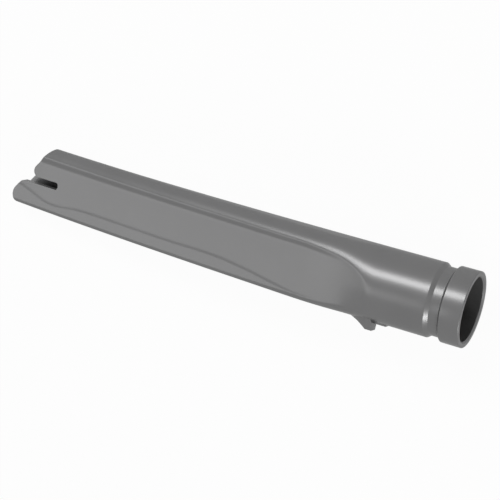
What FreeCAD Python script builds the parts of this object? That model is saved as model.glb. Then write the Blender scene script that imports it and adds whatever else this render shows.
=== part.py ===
"""Crevice nozzle for a vacuum cleaner: one hollow moulding, lying on its back.

Frame: the origin is the centre of the socket mouth. +X runs along the tool to the slanted tip,
+Z comes out of the sunk front face, and +Y points to the side that carries the catch.
All sizes are millimetres and degrees.
"""
import FreeCAD, Part
import math
import os
import Sketcher

Vector = FreeCAD.Vector

doc = FreeCAD.newDocument("crevice_nozzle")
sheet = doc.addObject("Spreadsheet::Sheet", "Sizes")

# Driving dimensions. "low" is the side that carries the catch, "high" is the plain side.
SIZES = {
    # socket at the round end, and the walls of tube, collar and neck round it
    "socket_bore": 32.0,
    "socket_depth": 34.0,
    "lead_in": 0.8,
    "stop_step": 0.5,
    "tube_wall": 2.7,
    "collar_wall": 2.95,
    "collar_length": 10.2,
    "collar_edge": 0.5,
    "shoulder_length": 1.1,
    "neck_wall": 1.2,
    "neck_length": 4.6,
    "neck_cone": 2.0,
    # stretch over which the round tube flattens into the nozzle
    "tube_end": 44.0,
    "end_at": 280.0,
    # section at the far end of that stretch: half widths, thickness and corner radii
    "end_low": 14.9,
    "end_high": 20.9,
    "end_thick": 11.8,
    "end_low_back": 5.0,
    "end_low_front": 6.3,
    "end_high_front": 4.8,
    "end_high_back": 6.5,
    # how late each of them changes: 1 is even, more is later
    "low_delay": 1.5,
    "high_delay": 3.5,
    "low_back_delay": 1.0,
    "high_back_delay": 1.6,
    # extra drop of the front where the tube ends, and the shares at which the drop and the
    # flattening of the front are mostly done
    "front_drop": 2.0,
    "drop_share": 0.06,
    "flat_share": 0.11,
    # sunk front face: depth under its rails, rail width on the high side, lean of its walls
    "sink_high": 1.5,
    "sink_low": 0.3,
    "rail_width": 5.6,
    "wall_lean": 50.0,
    # scoop where the front face runs out on the tube: depth under the tube's crown, tilt
    # towards the low side, and reach to each side
    "scoop_start": 41.5,
    "start_depth": -4.0,
    "start_tilt": 3.0,
    "start_high": 4.0,
    "start_low": 17.0,
    "apex_at": 45.5,
    "apex_depth": -0.7,
    "apex_tilt": 9.0,
    "apex_high": 6.0,
    "apex_low": 17.0,
    "scoop_at": 52.5,
    "scoop_depth": 3.2,
    "scoop_tilt": 13.0,
    "scoop_high": 8.0,
    "scoop_low": 17.0,
    "foot_at": 64.7,
    "foot_depth": 5.1,
    "foot_tilt": 3.0,
    "foot_high": 12.0,
    "foot_low": 15.5,
    # moulded wall round the passage, and the depth of the plane that it lies on
    "wall": 2.4,
    "back_flat": 0.15,
    # slanted tip and its slot
    "tip_reach": 267.9,
    "tip_angle": 40.5,
    "tip_side": 15.6,
    "tip_round": 6.0,
    "slot_width": 3.6,
    "slot_offset": 1.6,
    "slot_end": 243.3,
    "slot_round": 1.5,
    "high_prong_round": 3.5,
    "low_prong_round": 3.5,
    # catch on the side of the tube
    "catch_face": 45.6,
    "catch_height": 4.7,
    "catch_width": 5.8,
    "catch_land": 3.6,
    "catch_ramp": 14.0,
    "catch_turn": 6.0,
    "catch_root": 1.2,
    "catch_flare": 37.0,
    "ledge_length": 6.7,
    "ledge_height": 0.7,
}
for row, (alias, value) in enumerate(SIZES.items(), start=1):
    sheet.set("A%d" % row, alias)
    sheet.set("B%d" % row, str(value))
    sheet.setAlias("B%d" % row, alias)
doc.recompute()


def sized(text):
    """An expression over sheet aliases, as the features need it, with the sheet's name."""
    for alias in sorted(SIZES, key=len, reverse=True):
        text = text.replace("{%s}" % alias, "Sizes." + alias)
    return text


def now(text):
    """The number that such an expression has at present."""
    result = sheet.evalExpression(sized(text).replace("Sizes.", ""))
    return float(getattr(result, "Value", result))


body = doc.addObject("PartDesign::Body", "nozzle")
body.Label = "nozzle"


def plane(role):
    return next(item for item in body.Origin.OriginFeatures if item.Role == role)


def new_sketch(role, name, offset=None):
    """A sketch on an origin plane of the body, moved along the plane's normal."""
    sketch = body.newObject("Sketcher::SketchObject", name)
    sketch.AttachmentSupport = (plane(role), [""])
    sketch.MapMode = "FlatFace"
    if offset:
        sketch.setExpression("AttachmentOffset.Base.z", sized(offset))
    return sketch


def bind(sketch, kind, *where_and_text):
    """Adds a dimension whose value follows an expression."""
    where, text = where_and_text[:-1], where_and_text[-1]
    index = sketch.addConstraint(Sketcher.Constraint(kind, *where, now(text)))
    sketch.setExpression("Constraints[%d]" % index, sized(text))


def outline(sketch, points, rounds=None):
    """A closed outline through points given as expressions.

    rounds gives, for the edges that are arcs, the radius and 1 or -1 for the side it bulges to.
    """
    rounds = rounds or {}
    spots = [Vector(now(x), now(y), 0) for x, y in points]
    count = len(points)
    for index in range(count):
        start, end = spots[index], spots[(index + 1) % count]
        if index in rounds:
            radius, side = now(rounds[index][0]), rounds[index][1]
            chord = end - start
            across = Vector(chord.y, -chord.x, 0).normalize() * side
            rise = radius - math.sqrt(radius ** 2 - (chord.Length / 2) ** 2)
            sketch.addGeometry(Part.Arc(start, (start + end) / 2 + across * rise, end))
        else:
            sketch.addGeometry(Part.LineSegment(start, end))
    for index in range(count):
        first = 1 if not (index in rounds and rounds[index][1] < 0) else 2
        last = 3 - first
        after = (index + 1) % count
        after_first = 1 if not (after in rounds and rounds[after][1] < 0) else 2
        sketch.addConstraint(Sketcher.Constraint("Coincident", index, last, after, after_first))
        bind(sketch, "DistanceX", -1, 1, index, first, points[index][0])
        bind(sketch, "DistanceY", -1, 1, index, first, points[index][1])
        if index in rounds:
            bind(sketch, "Radius", index, rounds[index][0])
    return sketch


def circle_section(name, station, radius):
    """A full circle in eight arcs, to match the eight edges of the flattened sections."""
    flat_half_angle = 3
    points = []
    for quarter in (-90, 0, 90, 180):
        for angle in (quarter - flat_half_angle, quarter + flat_half_angle):
            points.append(("%s * %.9f" % (radius, math.cos(math.radians(angle))),
                           "%s * %.9f" % (radius, math.sin(math.radians(angle)))))
    arcs = {index: (radius, 1) for index in range(8)}
    return outline(new_sketch("YZ_Plane", name, station), points, arcs)


def box_section(name, station, low, high, back, front, rounds):
    """A rounded box: its four sides, and its corner radii from low back to high back."""
    low_back, low_front, high_front, high_back = ("(%s)" % radius for radius in rounds)
    bottom, top = "-(%s)" % back, "(%s)" % front
    right, left = "(%s)" % low, "-(%s)" % high
    points = [
        ("%s + %s" % (left, high_back), bottom), ("%s - %s" % (right, low_back), bottom),
        (right, "%s + %s" % (bottom, low_back)), (right, "%s - %s" % (top, low_front)),
        ("%s - %s" % (right, low_front), top), ("%s + %s" % (left, high_front), top),
        (left, "%s - %s" % (top, high_front)), (left, "%s + %s" % (bottom, high_back)),
    ]
    corners = {1: (low_back, 1), 3: (low_front, 1), 5: (high_front, 1), 7: (high_back, 1)}
    return outline(new_sketch("YZ_Plane", name, station), points, corners)


def loft(kind, name, sections, ruled=True):
    feature = body.newObject("PartDesign::" + kind, name)
    feature.Profile = sections[0]
    feature.Sections = sections[1:]
    feature.Ruled = ruled
    doc.recompute()
    return feature


TUBE = "({socket_bore} / 2 + {tube_wall})"
# Shares of the flattening stretch at which a section is drawn, closer near the tube
SECTION_COUNT = 12
SHARES = [(number / SECTION_COUNT) ** 1.6 for number in range(2, SECTION_COUNT + 1)]
# What is cut runs on a little past the end
CUT_SHARES = SHARES[:-1] + [1.03]


def station(share):
    return "{tube_end} + ({end_at} - {tube_end}) * %.9f" % share


def changed(start, end, share, delay):
    """A size that goes from start to end over the flattening stretch."""
    return "(%s + (%s - %s) * %.9f ^ %s)" % (start, end, start, share, delay)


def settled(share, mostly):
    """Rises from 0 to 1, softly at first, and is mostly done at the given share."""
    return "(1 - exp(-1 * (%.9f / %s) ^ 2))" % (share, mostly)


def form(share):
    """Expressions for the outer section at a share of the flattening stretch."""
    low = changed(TUBE, "{end_low}", share, "{low_delay}")
    high = changed(TUBE, "{end_high}", share, "{high_delay}")
    fall = "({front_drop} + (2 * %s - {front_drop} - {end_thick}) * %.9f)" % (TUBE, share)
    flat = settled(share, "{flat_share}")
    return {
        "at": station(share), "low": low, "high": high, "back": TUBE,
        "front": "(%s - %s * %s)" % (TUBE, fall, settled(share, "{drop_share}")),
        "low_back": changed(TUBE, "{end_low_back}", share, "{low_back_delay}"),
        "low_front": "(%s - ({end_low} - {end_low_front}) * %s)" % (low, flat),
        "high_front": "(%s - (%s - {end_high_front}) * %s)" % (high, high, flat),
        "high_back": changed(TUBE, "{end_high_back}", share, "{high_back_delay}"),
    }


# Round end: collar, neck and plain tube, turned about the axis
neck_start = "{collar_length} + {shoulder_length}"
neck_stop = neck_start + " + {neck_length}"
collar = "({socket_bore} / 2 + {collar_wall})"
neck = "({socket_bore} / 2 + {neck_wall})"
round_end = outline(new_sketch("XZ_Plane", "round_end_outline"), [
    ("0", "0"),
    ("{tube_end}", "0"),
    ("{tube_end}", TUBE),
    (neck_stop + " + {neck_cone}", TUBE),
    (neck_stop, neck),
    (neck_start, neck),
    ("{collar_length}", collar + " - {collar_edge}"),
    ("{collar_length} - {collar_edge}", collar),
    ("{collar_edge}", collar),
    ("0", collar + " - {collar_edge}"),
])
turned = body.newObject("PartDesign::Revolution", "round_end")
turned.Profile = round_end
turned.ReferenceAxis = (round_end, ["H_Axis"])
turned.Angle = 360
doc.recompute()

# Socket: a lead-in, the bore for the tube that it takes, and a smaller bore that stops it
stop = "({socket_bore} / 2 - {stop_step})"
bore = outline(new_sketch("XZ_Plane", "socket_outline"), [
    ("-1", "0"),
    ("{tube_end} + 1", "0"),
    ("{tube_end} + 1", stop),
    ("{socket_depth}", stop),
    ("{socket_depth}", "{socket_bore} / 2"),
    ("{lead_in}", "{socket_bore} / 2"),
    ("-1", "{socket_bore} / 2 + {lead_in} + 1"),
])
socket = body.newObject("PartDesign::Groove", "socket")
socket.Profile = bore
socket.ReferenceAxis = (bore, ["H_Axis"])
socket.Angle = 360
doc.recompute()

# Outer form: the round tube flattens and widens towards the tip, its back kept straight
outer = [circle_section("outer_start", "{tube_end}", TUBE)]
for number, share in enumerate(SHARES, start=1):
    here = form(share)
    outer.append(box_section(
        "outer_%d" % number, here["at"], here["low"], here["high"], here["back"], here["front"],
        (here["low_back"], here["low_front"], here["high_front"], here["high_back"])))
loft("AdditiveLoft", "outer_form", outer)

# Passage: a wall's distance inside the outer form
inner = [circle_section("passage_start", "{tube_end}", stop)]
for number, share in enumerate(CUT_SHARES, start=1):
    here = form(share)
    inner.append(box_section(
        "passage_%d" % number, here["at"],
        here["low"] + " - {wall}", here["high"] + " - {wall}",
        here["back"] + " - {wall}", here["front"] + " - {sink_high} - {wall}",
        (here["low_back"] + " - {wall}", here["low_front"] + " - {wall} - {sink_high}",
         here["high_front"] + " - {wall} - {sink_high}", here["high_back"] + " - {wall}")))
loft("SubtractiveLoft", "passage", inner)


def trough(name, place, high, low, high_floor, low_floor):
    """A section of what is cut from the front: a floor, and walls that lean outwards."""
    ceiling = "(%s + 8)" % TUBE
    return outline(new_sketch("YZ_Plane", name, place), [
        ("-(%s)" % high, high_floor),
        (low, low_floor),
        ("%s + (%s - (%s)) / tan({wall_lean})" % (low, ceiling, low_floor), ceiling),
        ("-(%s) - (%s - (%s)) / tan({wall_lean})" % (high, ceiling, high_floor), ceiling),
    ])


def scoop_section(stage, place):
    """The trough at one stage of the scoop, from the sizes named after that stage."""
    floor = "%s - {%s_depth}" % (TUBE, stage)
    return trough(
        "cut_" + stage, place, "{%s_high}" % stage, "{%s_low}" % stage,
        "%s + {%s_high} * tan({%s_tilt})" % (floor, stage, stage),
        "%s - {%s_low} * tan({%s_tilt})" % (floor, stage, stage))


# Sunk front face: a scoop out of the tube that runs on between the rails to the tip
cut = [scoop_section("start", "{scoop_start}"), scoop_section("apex", "{apex_at}"),
       scoop_section("scoop", "{scoop_at}"), scoop_section("foot", "{foot_at}")]
for number, share in enumerate(CUT_SHARES[2:], start=1):
    here = form(share)
    cut.append(trough(
        "cut_%d" % number, here["at"],
        here["high"] + " - {rail_width}", "%s - %s" % (here["low"], here["low_front"]),
        here["front"] + " - {sink_high}", here["front"] + " - {sink_low}"))
loft("SubtractiveLoft", "front_face", cut, ruled=False)


def pocket(name, sketch, way):
    """Cuts a sketch through everything that lies that way: both, up or down."""
    feature = body.newObject("PartDesign::Pocket", name)
    feature.Profile = sketch
    feature.Type = "ThroughAll"
    feature.Midplane = way == "both"
    feature.Reversed = way == "up"
    doc.recompute()


# Back: shaved to one plane, which the nozzle lies on
pocket("back_plane", outline(new_sketch("XY_Plane", "back_outline", "{back_flat} - " + TUBE), [
    ("{foot_at}", "-2 * {end_high}"),
    ("{end_at} + 20", "-2 * {end_high}"),
    ("{end_at} + 20", "2 * {end_high}"),
    ("{foot_at}", "2 * {end_high}"),
]), way="down")


def end_line(y):
    """X of the slanted end at a given y."""
    return "{tip_reach} + (%s) * tan({tip_angle})" % y


# Tip: cut off at a slant, with the low corner rounded
acute = "tan((90 - {tip_angle}) / 2)"
obtuse = "tan((90 + {tip_angle}) / 2)"
corner = "({tip_round} / %s)" % acute
pocket("slanted_end", outline(new_sketch("XY_Plane", "slanted_end_outline"), [
    (end_line("-2 * {end_high}"), "-2 * {end_high}"),
    (end_line("{tip_side}") + " - %s * sin({tip_angle})" % corner,
     "{tip_side} - %s * cos({tip_angle})" % corner),
    (end_line("{tip_side}") + " - " + corner, "{tip_side}"),
    (end_line("{tip_side}") + " - " + corner, "2 * {tip_side}"),
    ("{end_at} + 20", "2 * {tip_side}"),
    ("{end_at} + 20", "-2 * {end_high}"),
], {1: ("{tip_round}", 1)}), way="both")

# Slot: through the front wall only, open at the slanted end, its mouth flared by round corners
slot_high = "(0 - {slot_offset} - {slot_width} / 2)"
slot_low = "({slot_width} / 2 - {slot_offset})"
high_corner = "({high_prong_round} / %s)" % acute
low_corner = "({low_prong_round} / %s)" % obtuse
slot = new_sketch("XY_Plane", "slot_outline", "{end_thick} / 2 - " + TUBE)
pocket("slot", outline(slot, [
    (end_line(slot_high) + " - %s * sin({tip_angle})" % high_corner,
     "%s - %s * cos({tip_angle})" % (slot_high, high_corner)),
    (end_line(slot_high) + " - " + high_corner, slot_high),
    ("{slot_end} + {slot_round}", slot_high),
    ("{slot_end}", slot_high + " + {slot_round}"),
    ("{slot_end}", slot_low + " - {slot_round}"),
    ("{slot_end} + {slot_round}", slot_low),
    (end_line(slot_low) + " - " + low_corner, slot_low),
    (end_line(slot_low) + " + %s * sin({tip_angle})" % low_corner,
     "%s + %s * cos({tip_angle})" % (slot_low, low_corner)),
    ("{end_at} + 20", "%s + %s * cos({tip_angle})" % (slot_low, low_corner)),
    ("{end_at} + 20", "%s - %s * cos({tip_angle})" % (slot_high, high_corner)),
], {0: ("{high_prong_round}", 1), 2: ("{slot_round}", -1), 4: ("{slot_round}", -1),
    6: ("{low_prong_round}", 1)}), way="up")


def catch_section(name, place, height, flared):
    """The catch's section, turned about the axis to its place on the side of the tube."""
    root = "(%s - {catch_root})" % TUBE
    top = "(%s + %s)" % (TUBE, height)
    half = "({catch_width} / 2)"
    foot = ("(0 - %s * sin({catch_flare}))" % root, "(%s * cos({catch_flare}))" % root)
    spots = [(half, root), (half, top), ("(0 - %s)" % half, top),
             foot if flared else ("(0 - %s)" % half, root)]
    points = [("%s * sin({catch_turn}) + %s * cos({catch_turn})" % (across, out),
               "%s * sin({catch_turn}) - %s * cos({catch_turn})" % (out, across))
              for across, out in spots]
    return outline(new_sketch("YZ_Plane", name, place), points)


# Catch: a flat face towards the socket, a short land, then a hollow ramp down to the tube
loft("AdditiveLoft", "catch", [
    catch_section("catch_face_outline", "{catch_face}", "{catch_height}", True),
    catch_section("catch_land_outline", "{catch_face} + {catch_land}", "{catch_height}", True),
    catch_section("catch_ramp_outline", "{catch_face} + {catch_land} + {catch_ramp} * 0.35",
                  "{catch_height} * 0.4", True),
    catch_section("catch_end_outline", "{catch_face} + {catch_ramp}",
                  "(0 - {catch_root} / 2)", True),
])
loft("AdditiveLoft", "ledge", [
    catch_section("ledge_start", "{catch_face} - {ledge_length}", "{ledge_height}", False),
    catch_section("ledge_end", "{catch_face} + {catch_land} / 2", "{ledge_height}", False),
])

for item in doc.Objects:
    if "Invalid" in item.State or "Error" in item.State:
        raise RuntimeError("%s: %s" % (item.Name, item.getStatusString()))
if body.Shape.isNull() or not body.Shape.isValid() or len(body.Shape.Solids) != 1:
    raise RuntimeError("the nozzle's shape isn't one valid solid")
os.makedirs("parts", exist_ok=True)
body.Shape.exportStep("parts/nozzle.step")
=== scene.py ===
"""Looks of the crevice nozzle.

The skin is a plain turned tube that a Geometry Nodes tree flattens from named sizes. Its front is
then pressed down to the sunk face, the passage, the slanted end and the slot are cut out, and the
catch and its ledge are joined on. Shapes are worked out in millimetres, in the frame of the CAD
part, and scaled once at the end.
"""

import bmesh
import bpy
import math
from mathutils import Matrix, Vector


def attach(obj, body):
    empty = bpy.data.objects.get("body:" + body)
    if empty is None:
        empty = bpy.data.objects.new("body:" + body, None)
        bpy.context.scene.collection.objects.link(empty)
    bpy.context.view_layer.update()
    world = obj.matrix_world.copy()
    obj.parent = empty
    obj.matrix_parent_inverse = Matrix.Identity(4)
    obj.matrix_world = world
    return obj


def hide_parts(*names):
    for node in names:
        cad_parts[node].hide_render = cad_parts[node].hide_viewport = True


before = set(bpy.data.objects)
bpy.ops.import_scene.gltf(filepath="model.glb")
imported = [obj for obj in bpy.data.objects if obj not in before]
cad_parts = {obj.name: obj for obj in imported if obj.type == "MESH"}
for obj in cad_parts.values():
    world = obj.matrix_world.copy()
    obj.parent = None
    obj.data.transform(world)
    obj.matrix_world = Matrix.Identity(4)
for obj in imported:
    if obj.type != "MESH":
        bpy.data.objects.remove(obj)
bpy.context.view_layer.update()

MM = 0.001
FLOOR_Z = -18.95

# Sizes in mm and degrees; "low" is the catch side, "high" the plain one. Those ending in "share"
# or "delay" say how early and how slowly a size changes along the snout.
TUBE_RADIUS = 18.7
COLLAR_RADIUS, COLLAR_END = 18.95, 10.2
NECK_RADIUS, NECK_START, NECK_END, TUBE_START = 17.2, 11.3, 15.9, 17.9
WALL = 2.4
BORE_RADIUS, BORE_END = 16.0, 34.0
STOP_RADIUS, STOP_END = 15.5, 44.0
FORM_START, FORM_END = 44.0, 280.0
FORM = {
    "Tube radius": TUBE_RADIUS, "Form start": FORM_START, "Form end": FORM_END,
    "Low half width": 14.3, "High half width": 20.9, "Thickness": 11.8,
    "Low step": 2.1, "Step share": 0.13,
    "Low back radius": 5.0, "Low front radius": 2.5, "High back radius": 6.5,
    "High front start": 10.0, "High front radius": 6.2,
    "Low delay": 3.2, "High delay": 3.5, "Low back delay": 1.0, "High back delay": 1.6,
    "Front drop": 2.0, "Drop share": 0.06, "Low flat share": 0.11, "High flat share": 0.07,
}

# Sunk face: depth under its rails, width of the high rail, slopes and soft feet of its walls
SINK_HIGH, SINK_LOW = 1.5, 0.3
RAIL_WIDTH = 8.2
HIGH_WALL_SLOPE, LOW_WALL_SLOPE = 0.5, 0.47
HIGH_FOOT, LOW_FOOT = 0.4, 0.3
SKIN_DEPTH = 11.0


class Field:
    """A Geometry Nodes value that can be written into formulas."""

    def __init__(self, tree, socket):
        self.tree, self.socket = tree, socket

    def math(self, operation, *others):
        node = self.tree.nodes.new("ShaderNodeMath")
        node.operation = operation
        for slot, value in zip(node.inputs, (self,) + others):
            if isinstance(value, Field):
                self.tree.links.new(value.socket, slot)
            else:
                slot.default_value = value
        return Field(self.tree, node.outputs[0])

    def __add__(self, other):
        return self.math("ADD", other)

    def __sub__(self, other):
        return self.math("SUBTRACT", other)

    def __mul__(self, other):
        return self.math("MULTIPLY", other)

    def __truediv__(self, other):
        return self.math("DIVIDE", other)

    def __pow__(self, other):
        return self.math("POWER", other)

    def minus(self):
        return self.math("MULTIPLY", -1.0)

    def pick(self, if_positive, if_not):
        """One of two fields, by the sign of this one."""
        sign = self.math("GREATER_THAN", 0.0)
        return if_not + (if_positive - if_not) * sign


def flatten_tree(material):
    """Flattens a round tube along +X into the nozzle's form, from sizes given as inputs."""
    tree = bpy.data.node_groups.new("flatten_tube", "GeometryNodeTree")
    tree.interface.new_socket("Geometry", in_out="INPUT", socket_type="NodeSocketGeometry")
    tree.interface.new_socket("Geometry", in_out="OUTPUT", socket_type="NodeSocketGeometry")
    for name, value in FORM.items():
        socket = tree.interface.new_socket(name, in_out="INPUT", socket_type="NodeSocketFloat")
        socket.default_value = value
    source = tree.nodes.new("NodeGroupInput")
    size = {name: Field(tree, source.outputs[name]) for name in FORM}
    spot = tree.nodes.new("ShaderNodeSeparateXYZ")
    tree.links.new(tree.nodes.new("GeometryNodeInputPosition").outputs[0], spot.inputs[0])
    x, y, z = (Field(tree, output) for output in spot.outputs)

    radius = size["Tube radius"]
    share = (x - size["Form start"]) / (size["Form end"] - size["Form start"])
    share = share.math("MAXIMUM", 0.0)

    def changed(end, delay):
        return radius + (size[end] - radius) * share ** size[delay]

    def settled(mostly):
        power = ((share / size[mostly]) ** 2.0).minus().math("EXPONENT")
        return power.minus() + 1.0

    step = size["Low step"]
    narrowed = (radius - step - size["Low half width"]) * share ** size["Low delay"]
    low = radius - step * settled("Step share") - narrowed
    high = changed("High half width", "High delay")
    drop = size["Front drop"]
    fall = drop + (radius * 2.0 - drop - size["Thickness"]) * share
    front = radius - fall * settled("Drop share")
    low_back = changed("Low back radius", "Low back delay")
    high_back = changed("High back radius", "High back delay")
    low_front = low - (low - size["Low front radius"]) * settled("Low flat share")
    ridge = size["High front start"]
    ridge = ridge + (size["High front radius"] - ridge) * share
    high_front = high - (high - ridge) * settled("High flat share")

    # A point keeps its part of the half width, and its height follows from the corner's arc there
    reach = y.pick(low, high)
    across = y * reach / radius

    def arc(corner):
        past = (across.math("ABSOLUTE") - reach + corner).math("MAXIMUM", 0.0)
        return (corner * corner - past * past).math("MAXIMUM", 0.0).math("SQRT")

    front_corner, back_corner = y.pick(low_front, high_front), y.pick(low_back, high_back)
    back_rise = (front + radius - front_corner).math("MINIMUM", back_corner)
    height = z.pick(front - front_corner + arc(front_corner),
                    back_rise - radius - arc(back_corner) * back_rise / back_corner)
    past_start = x.math("GREATER_THAN", size["Form start"])
    rise = z + (height - z) * past_start
    join = tree.nodes.new("ShaderNodeCombineXYZ")
    for slot, value in zip(join.inputs, (x, across, rise)):
        tree.links.new(value.socket, slot)
    place = tree.nodes.new("GeometryNodeSetPosition")
    tree.links.new(source.outputs["Geometry"], place.inputs["Geometry"])
    tree.links.new(join.outputs[0], place.inputs["Position"])
    real = tree.nodes.new("GeometryNodeRealizeInstances")
    paint = tree.nodes.new("GeometryNodeSetMaterial")
    paint.inputs["Material"].default_value = material
    sink = tree.nodes.new("NodeGroupOutput")
    tree.links.new(place.outputs[0], real.inputs[0])
    tree.links.new(real.outputs[0], paint.inputs["Geometry"])
    tree.links.new(paint.outputs[0], sink.inputs[0])
    return tree


def new_object(name, verts, faces):
    mesh = bpy.data.meshes.new(name)
    mesh.from_pydata(verts, [], faces)
    mesh.validate()
    obj = bpy.data.objects.new(name, mesh)
    bpy.context.scene.collection.objects.link(obj)
    tidy = bmesh.new()
    tidy.from_mesh(mesh)
    bmesh.ops.recalc_face_normals(tidy, faces=tidy.faces)
    tidy.to_mesh(mesh)
    tidy.free()
    return obj


def skinned(name, rings):
    """A closed solid through rings with the same number of corners."""
    count = len(rings[0])
    verts = [point for ring in rings for point in ring]
    faces = []
    for row in range(len(rings) - 1):
        for column in range(count):
            after = (column + 1) % count
            faces.append((row * count + column, row * count + after,
                          (row + 1) * count + after, (row + 1) * count + column))
    faces.append(tuple(range(count)))
    faces.append(tuple(range((len(rings) - 1) * count, len(rings) * count)))
    return new_object(name, verts, faces)


def tube_ring(x, radius, columns):
    """A ring about the X axis, with no point at the height of the axis itself."""
    turns = [(column + 0.5) / columns * 2 * math.pi for column in range(columns)]
    return [(x, radius * math.cos(turn), radius * math.sin(turn)) for turn in turns]


def baked(obj):
    """Applies the object's modifiers to its mesh."""
    dressed = obj.evaluated_get(bpy.context.evaluated_depsgraph_get())
    mesh = bpy.data.meshes.new_from_object(dressed)
    obj.modifiers.clear()
    old, obj.data = obj.data, mesh
    bpy.data.meshes.remove(old)
    return obj


def flattened(name, profile, tree, sizes, columns):
    """A turned profile put through the flattening tree with these sizes."""
    obj = skinned(name, [tube_ring(x, radius, columns) for x, radius in profile])
    modifier = obj.modifiers.new("flatten", "NODES")
    modifier.node_group = tree
    for item in tree.interface.items_tree:
        if item.in_out == "INPUT" and item.name in sizes:
            modifier[item.identifier] = sizes[item.name]
    return baked(obj)


def rounded(corner, before, after, radius, steps=5):
    """Points of an arc that rounds a corner of an outline."""
    to_before = (Vector(before) - Vector(corner)).normalized()
    to_after = (Vector(after) - Vector(corner)).normalized()
    half = to_before.angle(to_after) / 2
    centre = Vector(corner) + (to_before + to_after).normalized() * (radius / math.sin(half))
    start = Vector(corner) + to_before * (radius / math.tan(half)) - centre
    end = Vector(corner) + to_after * (radius / math.tan(half)) - centre
    turn = start.angle(end)
    points = []
    for step in range(steps + 1):
        share = step / steps
        spot = start * math.sin((1 - share) * turn) + end * math.sin(share * turn)
        points.append(tuple(centre + spot / math.sin(turn)))
    return points


def evenly(start, end, step):
    """Numbers from start to end in equal steps, as near as they can be to the step given."""
    count = max(1, round((end - start) / step))
    return [start + (end - start) * number / count for number in range(count + 1)]


def share_at(x):
    return max(0.0, (x - FORM_START) / (FORM_END - FORM_START))


def front_at(x):
    """Height of the rails' tops."""
    share = share_at(x)
    fall = FORM["Front drop"] + (2 * TUBE_RADIUS - FORM["Front drop"] - FORM["Thickness"]) * share
    return TUBE_RADIUS - fall * (1 - math.exp(-(share / FORM["Drop share"]) ** 2))


def run_section(x, low_edge):
    """Sunk face past the scoop: reach to the high and low side, floor height there, and sag."""
    high = TUBE_RADIUS + (FORM["High half width"] - TUBE_RADIUS) * share_at(x) ** FORM["High delay"]
    return (high - RAIL_WIDTH, low_edge, front_at(x) - SINK_HIGH, front_at(x) - SINK_LOW, 0.0)


def scoop_stage(depth, tilt, sag, high, low):
    """Sunk face in the scoop, where its low side still sags like the tube."""
    slope = math.tan(math.radians(tilt))
    floor = TUBE_RADIUS - depth
    return (high, low, floor + high * slope, floor - low * slope, sag)


STAGES = [
    (42.0, scoop_stage(-2.0, 6.0, 1.0, 1.0, 17.0)),
    (47.7, scoop_stage(0.1, 6.0, 0.8, 1.5, 17.0)),
    (50.0, scoop_stage(1.0, 5.5, 0.6, 3.5, 17.0)),
    (52.5, scoop_stage(1.9, 5.0, 0.45, 5.5, 17.0)),
    (58.0, scoop_stage(3.5, 4.0, 0.2, 8.2, 16.0)),
    (64.7, scoop_stage(4.9, 3.0, 0.0, 10.1, 14.5)),
]
# Where the low edge of the sunk face runs, past the scoop: it swings in, bulges and curls up
STAGES += [(x, run_section(x, low_edge)) for x, low_edge in (
    (84.0, 13.6), (100.0, 11.8), (117.0, 9.4), (136.0, 7.8), (168.0, 8.0), (202.0, 7.6),
    (226.0, 7.6), (241.0, 9.2), (250.0, 8.8), (257.0, 6.8), (264.0, 4.6), (287.0, -2.0))]


def between(x):
    """The sunk face at x, on a smooth curve through its stages."""
    index = max(i for i, stage in enumerate(STAGES[:-1]) if stage[0] <= x)

    def slope(i):
        first, last = max(i - 1, 0), min(i + 1, len(STAGES) - 1)
        run = STAGES[last][0] - STAGES[first][0]
        return [(b - a) / run for a, b in zip(STAGES[first][1], STAGES[last][1])]

    (x0, start), (x1, end) = STAGES[index], STAGES[index + 1]
    run = x1 - x0
    t = (x - x0) / run
    a, b = slope(index), slope(index + 1)
    return [
        (2 * t ** 3 - 3 * t ** 2 + 1) * p0 + (t ** 3 - 2 * t ** 2 + t) * run * m0
        + (3 * t ** 2 - 2 * t ** 3) * p1 + (t ** 3 - t ** 2) * run * m1
        for p0, p1, m0, m1 in zip(start, end, a, b)
    ]


def soft_climb(distance, softness):
    """Grows with the distance once it is above 0, with a soft start."""
    return softness * math.log1p(math.exp(min(distance / softness, 30.0)))


def sunk_height(x, y, section):
    """Height of the sunk face: a tilted floor between two walls with soft feet."""
    high, low, high_floor, low_floor, sag = section
    floor = high_floor + (y + high) * (low_floor - high_floor) / (high + low)
    floor -= sag * max(y, 0.0) ** 2 / (2 * TUBE_RADIUS)
    return (floor + HIGH_WALL_SLOPE * soft_climb(-high - y, HIGH_FOOT)
            + LOW_WALL_SLOPE * soft_climb(y - low, LOW_FOOT))


def lower_of(first, second, softness):
    """The lower of two heights, with a rounded crest where they cross."""
    share = min(max(0.5 + 0.5 * (second - first) / softness, 0.0), 1.0)
    return second + (first - second) * share - softness * share * (1 - share)


def sink_face(obj):
    """Lowers the front of the skin to the sunk face."""
    sections = {}
    for vertex in obj.data.vertices:
        x, y, z = vertex.co
        if x < STAGES[0][0] or z < front_at(x) - SKIN_DEPTH:
            continue
        key = round(x, 3)
        if key not in sections:
            sections[key] = between(x)
        side = min(max((3.0 - y) / 6.0, 0.0), 1.0)
        softness = 0.35 + 0.4 * side
        vertex.co.z = lower_of(z, sunk_height(x, y, sections[key]), softness)


def prism(name, outline, bottom, top):
    return skinned(name, [[(x, y, height) for x, y in outline] for height in (bottom, top)])


TIP_REACH, TIP_ANGLE = 267.9, math.radians(39.5)
TIP_SIDE, TIP_ROUND = 15.6, 6.0
SLOT_LOW, SLOT_HIGH, SLOT_END, SLOT_FLOOR = 0.9, -3.1, 243.3, -12.8

# Where the cutting solids end, well clear of the nozzle
PAST_TIP, PAST_SIDE, ABOVE_ALL = 300, 40, 30


def end_line(y):
    return TIP_REACH + y * math.tan(TIP_ANGLE)


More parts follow.
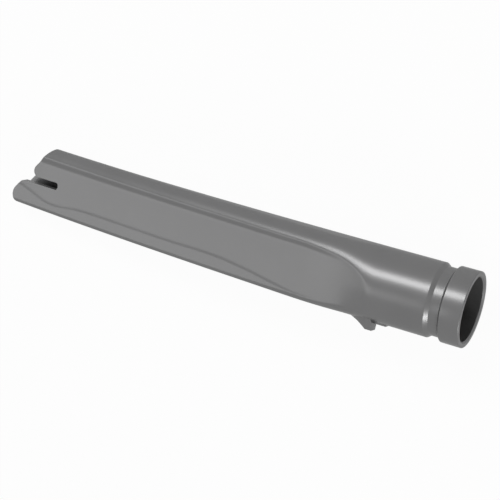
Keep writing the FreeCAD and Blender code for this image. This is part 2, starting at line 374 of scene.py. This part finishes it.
def slanted_end():
    start = (end_line(-PAST_SIDE), -PAST_SIDE)
    arc = rounded((end_line(TIP_SIDE), TIP_SIDE), start, (200, TIP_SIDE), TIP_ROUND, 24)
    outline = [start] + arc
    outline += [(arc[-1][0], PAST_SIDE), (PAST_TIP, PAST_SIDE), (PAST_TIP, -PAST_SIDE)]
    return prism("slanted_end", outline, -PAST_SIDE, ABOVE_ALL)


def slot():
    high_corner, low_corner = (end_line(SLOT_HIGH), SLOT_HIGH), (end_line(SLOT_LOW), SLOT_LOW)
    start, end = (end_line(-30), -30), (end_line(30), 30)
    outline = (
        rounded(high_corner, start, (200, SLOT_HIGH), 3.5, 14)
        + rounded((SLOT_END, SLOT_HIGH), high_corner, (SLOT_END, SLOT_LOW), 1.5, 8)
        + rounded((SLOT_END, SLOT_LOW), (SLOT_END, SLOT_HIGH), low_corner, 1.5, 8)
        + rounded(low_corner, (200, SLOT_LOW), end, 3.5, 14)
    )
    return prism("slot", outline + [(PAST_TIP, outline[-1][1]), (PAST_TIP, outline[0][1])],
                 SLOT_FLOOR, ABOVE_ALL)


CATCH_TURN = math.radians(6)
CATCH_FLARE = math.radians(37)
CATCH_ROOT, CATCH_HALF_WIDTH, CATCH_HEIGHT = 1.2, 2.9, 4.7
CATCH_FACE, CATCH_LAND, CATCH_END = 45.6, 49.2, 59.6
LEDGE_START, LEDGE_END, LEDGE_HEIGHT = 38.9, 47.0, 0.7


def catch_ring(x, height, flared):
    """The catch's outline about the axis, turned to its place on the side of the tube."""
    root, top, half = TUBE_RADIUS - CATCH_ROOT, TUBE_RADIUS + height, CATCH_HALF_WIDTH
    foot = (-half, root)
    if flared:
        foot = (-root * math.sin(CATCH_FLARE), root * math.cos(CATCH_FLARE))
    spots = [(half, root), (half, top), (-half, top), foot]
    sine, cosine = math.sin(CATCH_TURN), math.cos(CATCH_TURN)
    return [(x, across * sine + out * cosine, out * sine - across * cosine)
            for across, out in spots]


def catch():
    """A steep face to the socket, a short land, and a ramp that hollows down to the tube."""
    rings = [catch_ring(x, CATCH_HEIGHT, True) for x in (CATCH_FACE, CATCH_LAND)]
    for number in range(1, 17):
        share = number / 16
        height = CATCH_HEIGHT * (1 - share) ** 1.5 - 0.6 * share
        rings.append(catch_ring(CATCH_LAND + (CATCH_END - CATCH_LAND) * share, height, True))
    return skinned("catch", rings)


def ledge():
    rings = [catch_ring(x, LEDGE_HEIGHT, False) for x in (LEDGE_START, LEDGE_END)]
    return skinned("ledge", rings)


def combined(body, operation, tool):
    """Cuts or joins a tool and throws it away."""
    modifier = body.modifiers.new(operation.lower(), "BOOLEAN")
    modifier.operation = operation
    modifier.solver = "EXACT"
    modifier.object = tool
    baked(body)
    bpy.data.objects.remove(tool)


def bevelled(obj, width, degrees):
    modifier = obj.modifiers.new("edges", "BEVEL")
    modifier.width = width
    modifier.segments = 3
    modifier.limit_method = "ANGLE"
    modifier.angle_limit = math.radians(degrees)
    return baked(obj)


class Shader:
    """Short calls for building a material's nodes."""

    def __init__(self, name):
        self.material = bpy.data.materials.new(name)
        self.material.use_nodes = True
        self.nodes = self.material.node_tree.nodes
        self.links = self.material.node_tree.links
        self.principled = self.nodes["Principled BSDF"]

    def add(self, kind, **inputs):
        node = self.nodes.new(kind)
        for name, value in inputs.items():
            self.set(node, name.replace("_", " "), value)
        return node

    def set(self, node, name, value):
        if isinstance(value, bpy.types.NodeSocket):
            self.links.new(value, node.inputs[name])
        else:
            node.inputs[name].default_value = value


def looked_at(nodes, links):
    """1 for camera, reflection and transmission rays, else 0."""
    path = nodes.new("ShaderNodeLightPath")
    seen = path.outputs["Is Camera Ray"]
    for kind in ("Is Glossy Ray", "Is Transmission Ray"):
        either = nodes.new("ShaderNodeMath")
        either.operation = "MAXIMUM"
        links.new(seen, either.inputs[0])
        links.new(path.outputs[kind], either.inputs[1])
        seen = either.outputs[0]
    return seen


PLASTIC = (0.19, 0.19, 0.191, 1.0)


def plastic_material():
    shader = Shader("satin_grey_plastic")
    place = shader.nodes.new("ShaderNodeTexCoord").outputs["Object"]
    cloud = shader.add("ShaderNodeTexNoise", Vector=place, Scale=45.0, Detail=3.0)
    grain = shader.add("ShaderNodeTexNoise", Vector=place, Scale=1800.0, Detail=2.0)
    tone = shader.add("ShaderNodeMapRange", Value=cloud.outputs["Fac"])
    shader.set(tone, "To Min", 0.94)
    shader.set(tone, "To Max", 1.06)
    colour = shader.add("ShaderNodeVectorMath", Vector=PLASTIC[:3])
    colour.operation = "SCALE"
    shader.set(colour, "Scale", tone.outputs[0])
    shader.set(shader.principled, "Base Color", colour.outputs[0])
    gloss = shader.add("ShaderNodeMapRange", Value=cloud.outputs["Fac"])
    shader.set(gloss, "To Min", 0.27)
    shader.set(gloss, "To Max", 0.33)
    shader.set(shader.principled, "Roughness", gloss.outputs[0])
    bump = shader.add("ShaderNodeBump", Height=grain.outputs["Fac"], Strength=0.06, Distance=0.0001)
    shader.set(shader.principled, "Normal", bump.outputs[0])
    shader.principled.inputs["Metallic"].default_value = 0.5
    shader.principled.inputs["Specular Tint"].default_value = (0.4, 0.4, 0.4, 1.0)
    return shader.material


def stage_material(name, colour):
    """Pale floor that shows white to the camera and in reflections, and keeps a soft shadow."""
    shader = Shader(name)
    shader.principled.inputs["Base Color"].default_value = colour
    shader.principled.inputs["Roughness"].default_value = 0.9
    share = shader.add("ShaderNodeMath")
    share.operation = "MULTIPLY"
    share.inputs[1].default_value = 0.96
    shader.links.new(looked_at(shader.nodes, shader.links), share.inputs[0])
    glow = shader.add("ShaderNodeEmission", Strength=1.0)
    glow.inputs["Color"].default_value = (1, 1, 1, 1)
    mix = shader.nodes.new("ShaderNodeMixShader")
    shader.links.new(share.outputs[0], mix.inputs[0])
    shader.links.new(shader.principled.outputs[0], mix.inputs[1])
    shader.links.new(glow.outputs[0], mix.inputs[2])
    shader.links.new(mix.outputs[0], shader.nodes["Material Output"].inputs["Surface"])
    return shader.material


plastic = plastic_material()
tree = flatten_tree(plastic)

# Outer form: collar, neck, cone and tube, then rows that the tree flattens
outer_profile = [(0.0, 18.3)]
for corner, before, after, radius in (
        ((0.0, COLLAR_RADIUS), (0.0, 17.0), (5.0, COLLAR_RADIUS), 0.5),
        ((COLLAR_END, COLLAR_RADIUS), (5.0, COLLAR_RADIUS), (10.9, 17.9), 0.35),
        ((NECK_START, NECK_RADIUS), (10.6, 18.2), (15.0, NECK_RADIUS), 0.3),
        ((NECK_END, NECK_RADIUS), (12.0, NECK_RADIUS), (TUBE_START, TUBE_RADIUS), 0.4),
        ((TUBE_START, TUBE_RADIUS), (NECK_END, NECK_RADIUS), (25.0, TUBE_RADIUS), 0.6)):
    outer_profile += rounded(corner, before, after, radius)
stations = evenly(22.0, 42.0, 2.0) + evenly(42.75, 70.0, 0.75) + evenly(71.5, 100.0, 1.5)
stations += evenly(102.0, FORM_END, 2.0)
outer_profile += [(x, TUBE_RADIUS) for x in stations]
body = flattened("nozzle_skin", outer_profile, tree, FORM, 200)
sink_face(body)

# Passage: socket bore, stop, and the same flattening about a wall's distance inside
inner_sizes = dict(FORM)
for name in ("Tube radius", "Low half width", "High half width", "Low back radius",
             "High back radius"):
    inner_sizes[name] -= WALL
for name in ("High front start", "High front radius"):
    inner_sizes[name] -= WALL + SINK_HIGH
inner_sizes["Low front radius"] = 1.0
inner_sizes["Thickness"] -= 2 * WALL + SINK_HIGH
inner_sizes["Front drop"] += SINK_HIGH + 2.5
inner_radius = inner_sizes["Tube radius"]
inner_profile = [(-1.0, 17.8), (0.8, BORE_RADIUS), (BORE_END, BORE_RADIUS),
                 (BORE_END, STOP_RADIUS), (STOP_END, STOP_RADIUS)]
inner_profile += [(x, inner_radius) for x in [44.1] + evenly(46.0, 290.0, 4.0)]
passage = flattened("passage", inner_profile, tree, inner_sizes, 120)
combined(body, "DIFFERENCE", passage)
combined(body, "DIFFERENCE", slanted_end())
combined(body, "DIFFERENCE", slot())
combined(body, "UNION", bevelled(ledge(), 0.2, 40))
combined(body, "UNION", bevelled(catch(), 0.35, 40))

body.data.transform(Matrix.Scale(MM, 4))
body.data.shade_smooth()
body.data.set_sharp_from_angle(angle=math.radians(20))
body.data.materials.clear()
body.data.materials.append(plastic)
body.name = body.data.name = "nozzle_shell"
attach(body, "root")
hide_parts("nozzle")
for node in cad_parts.values():
    node.data.materials.clear()
    node.data.materials.append(plastic)

# Wide floor just under the nozzle
floor = new_object("floor", [(x, y, FLOOR_Z * MM - 0.0002) for x, y in
                             ((-6, -6), (6, -6), (6, 6), (-6, 6))], [(0, 1, 2, 3)])
floor.data.materials.append(stage_material("pale_floor", (0.95, 0.95, 0.95, 1.0)))

# World: white where the camera or a reflection looks, a plain level for soft light
world = bpy.data.worlds.new("studio")
bpy.context.scene.world = world
world.use_nodes = True
nodes, links = world.node_tree.nodes, world.node_tree.links
strength = nodes.new("ShaderNodeMapRange")
links.new(looked_at(nodes, links), strength.inputs["Value"])
strength.inputs["To Min"].default_value = 0.1
strength.inputs["To Max"].default_value = 1.0
background = nodes["Background"]
background.inputs["Color"].default_value = (1, 1, 1, 1)
links.new(strength.outputs[0], background.inputs["Strength"])


def area_light(name, direction, distance, width, length, power, along=(1, 0, 0)):
    """A soft box that faces the middle of the nozzle, its long side along a direction."""
    data = bpy.data.lights.new(name, "AREA")
    data.shape = "RECTANGLE"
    data.size, data.size_y = length, width
    data.energy = power
    lamp = bpy.data.objects.new(name, data)
    bpy.context.scene.collection.objects.link(lamp)
    back = Vector(direction).normalized()
    side = (Vector(along) - back * back.dot(Vector(along))).normalized()
    up = back.cross(side)
    lamp.matrix_world = Matrix.Translation(Vector((0.13, 0, 0)) + back * distance) @ Matrix(
        (side, up, back)).transposed().to_4x4()
    return lamp


area_light("strip_box", (0.15, -0.65, 0.74), 1.3, 0.4, 0.8, 7.5)
area_light("tip_side_box", (0.65, 0.2, 0.73), 1.3, 0.5, 1.4, 2.3)
area_light("socket_side_box", (-0.72, 0.6, 0.34), 1.3, 0.3, 0.6, 6.0)

# Camera at the photograph's viewing angle
camera = bpy.data.objects.new("camera", bpy.data.cameras.new("camera"))
bpy.context.scene.collection.objects.link(camera)
camera.data.sensor_width = 36.0
camera.data.lens = 93.6
camera.data.clip_start = 0.01
right = Vector((-0.879, -0.167, -0.447))
look = Vector((0.405, 0.237, -0.883)).normalized()
right = (right - look * right.dot(look)).normalized()
up = right.cross(look)
camera.matrix_world = Matrix.Translation(Vector((-149.6, -155.6, 587.0)) * MM) @ Matrix(
    (right, up, -look)).transposed().to_4x4()
bpy.context.scene.camera = camera

bpy.context.scene.view_settings.view_transform = "Standard"
